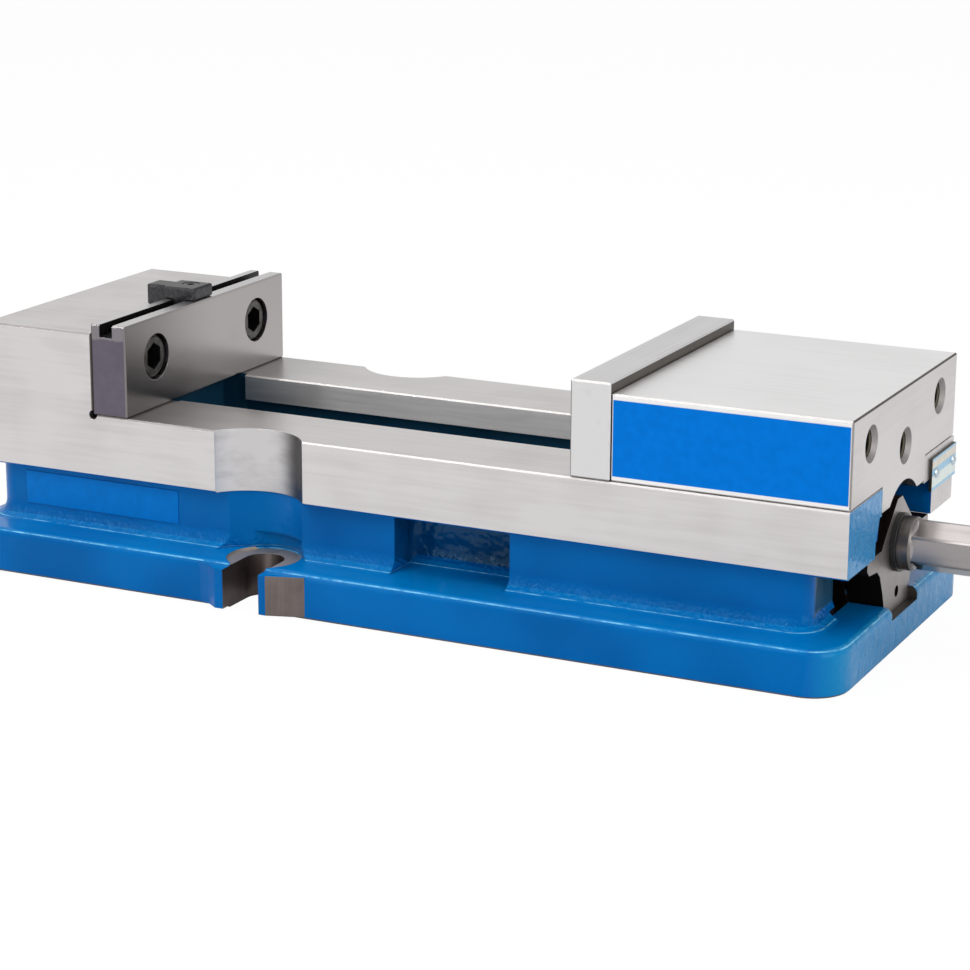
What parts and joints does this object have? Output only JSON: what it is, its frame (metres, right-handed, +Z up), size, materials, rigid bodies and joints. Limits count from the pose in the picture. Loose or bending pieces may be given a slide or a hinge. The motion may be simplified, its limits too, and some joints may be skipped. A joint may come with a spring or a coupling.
{
  "type": "machine vise",
  "caption": "Milling machine vise: iron base with open hold-down slots, ground fixed and movable jaws, screw with hexagonal drive end, angled nut, side work stop",
  "frame": {"origin": "on the underside of the base, on the centreline, directly below the clamping face of the fixed jaw plate", "axes": "+X along the screw from the fixed jaw to the drive end, +Y across the bed, +Z up, normal to the underside"},
  "size_m": [0.3363, 0.1324, 0.0885],
  "materials": {
    "enamelled_iron": "cast iron under glossy blue enamel, with ground bed, rails and jaw block",
    "ground_steel": "ground hardened steel",
    "dark_steel": "black oxide steel",
    "ground_iron": "ground cast iron",
    "nut_steel": "machined steel",
    "screw_steel": "turned steel",
    "cage_brass": "stamped brass",
    "black_rubber": "black nitrile rubber",
    "plate_aluminium": "anodised aluminium",
    "label_film": "plain printed film"
  },
  "bodies": {
    "base": {"body": "enamelled_iron", "fixed_jaw_plate": "ground_steel", "fixed_plate_screws": "dark_steel", "bearing_bracket": "screw_steel", "bracket_screws": "dark_steel", "bracket_pin": "dark_steel", "fixed_race": "ground_steel", "data_plate": "plate_aluminium", "data_plate_rivets": "plate_aluminium", "body_label": "label_film"},
    "jaw": {"movable_jaw": "ground_iron", "movable_jaw_plate": "ground_steel", "movable_plate_screws": "dark_steel", "jaw_nut": "nut_steel", "half_ball": "ground_steel", "jaw_set_screw": "dark_steel", "jaw_label": "label_film"},
    "screw": {"lead_screw": "screw_steel", "thrust_collar": "dark_steel", "collar_pin": "ground_steel", "turning_race": "ground_steel", "seal_ring": "black_rubber"},
    "cage": {"thrust_cage": "cage_brass", "thrust_rollers": "ground_steel"},
    "stop": {"work_stop": "dark_steel", "work_stop_screw": "dark_steel"}
  },
  "joints": [
    {"name": "jaw_slide", "type": "slide", "parent": "base", "child": "jaw", "axis": [1, 0, 0], "range_m": [-0.1562, 0]},
    {"name": "screw_spin", "type": "hinge", "parent": "base", "child": "screw", "pos_m": [0.2439, 0, 0.032], "axis": [1, 0, 0], "range_deg": [-11070, 0]},
    {"name": "cage_spin", "type": "hinge", "parent": "base", "child": "cage", "pos_m": [0.2296, 0, 0.032], "axis": [1, 0, 0], "range_deg": [-5535, 0]},
    {"name": "stop_slide", "type": "slide", "parent": "base", "child": "stop", "axis": [0, 1, 0], "range_m": [-0.044, 0.044]}
  ],
  "couplings": [
    {"joint": "screw_spin", "follows": "jaw_slide", "rad_per_m": 1236.8},
    {"joint": "cage_spin", "follows": "jaw_slide", "rad_per_m": 618.42}
  ]
}
